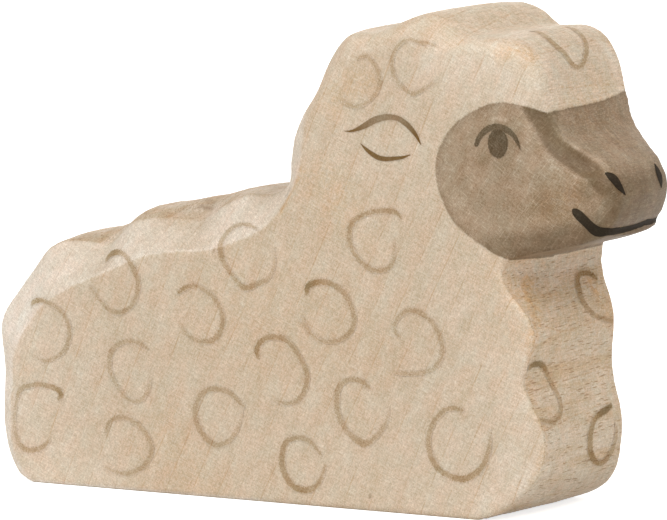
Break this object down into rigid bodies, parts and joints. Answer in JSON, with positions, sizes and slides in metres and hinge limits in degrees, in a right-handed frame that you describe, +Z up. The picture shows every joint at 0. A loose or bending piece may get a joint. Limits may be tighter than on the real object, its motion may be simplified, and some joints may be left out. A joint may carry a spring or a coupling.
{
  "type": "wooden lamb figure",
  "caption": "Lying lamb sawn from one board, with pared edges, a tapered muzzle and hand-painted face and wool curls; stands free on a flat base.",
  "frame": {"origin": "on the base plane, under the middle of the figure's overall box", "axes": "+X towards the lamb's nose, +Y towards its left flank, through the board's thickness, +Z up"},
  "size_m": [0.0912, 0.025, 0.0648],
  "materials": {
    "maple": "bare maple, sanded, with a thin matt wax",
    "glaze": "translucent grey-brown paint glaze, grain shows through",
    "curl_brown": "thin pale brown paint, dry brush",
    "ear_brown": "thin brown paint",
    "dark": "opaque near-black brown paint"
  },
  "bodies": {
    "root": {"wooden_body": "maple", "face_glaze": "glaze", "right_curl_01": "curl_brown", "right_curl_02": "curl_brown", "right_curl_03": "curl_brown", "right_curl_04": "curl_brown", "right_curl_05": "curl_brown", "right_curl_06": "curl_brown", "right_curl_07": "curl_brown", "right_curl_08": "curl_brown", "right_curl_09": "curl_brown", "right_curl_10": "curl_brown", "right_curl_11": "curl_brown", "right_curl_12": "curl_brown", "right_curl_13": "curl_brown", "right_curl_14": "curl_brown", "right_curl_15": "curl_brown", "right_curl_16": "curl_brown", "right_curl_17": "curl_brown", "right_ear_upper": "ear_brown", "right_ear_lower": "ear_brown", "right_eyelid": "dark", "right_pupil": "dark", "right_nostril": "dark", "left_curl_01": "curl_brown", "left_curl_02": "curl_brown", "left_curl_03": "curl_brown", "left_curl_04": "curl_brown", "left_curl_05": "curl_brown", "left_curl_06": "curl_brown", "left_curl_07": "curl_brown", "left_curl_08": "curl_brown", "left_curl_09": "curl_brown", "left_curl_10": "curl_brown", "left_curl_11": "curl_brown", "left_curl_12": "curl_brown", "left_curl_13": "curl_brown", "left_curl_14": "curl_brown", "left_curl_15": "curl_brown", "left_curl_16": "curl_brown", "left_curl_17": "curl_brown", "left_ear_upper": "ear_brown", "left_ear_lower": "ear_brown", "left_eyelid": "dark", "left_pupil": "dark", "left_nostril": "dark", "chest_curl_01": "curl_brown", "chest_curl_02": "curl_brown", "chest_curl_03": "curl_brown", "forelock_curl": "curl_brown", "mouth_line": "dark"}
  },
  "joints": []
}
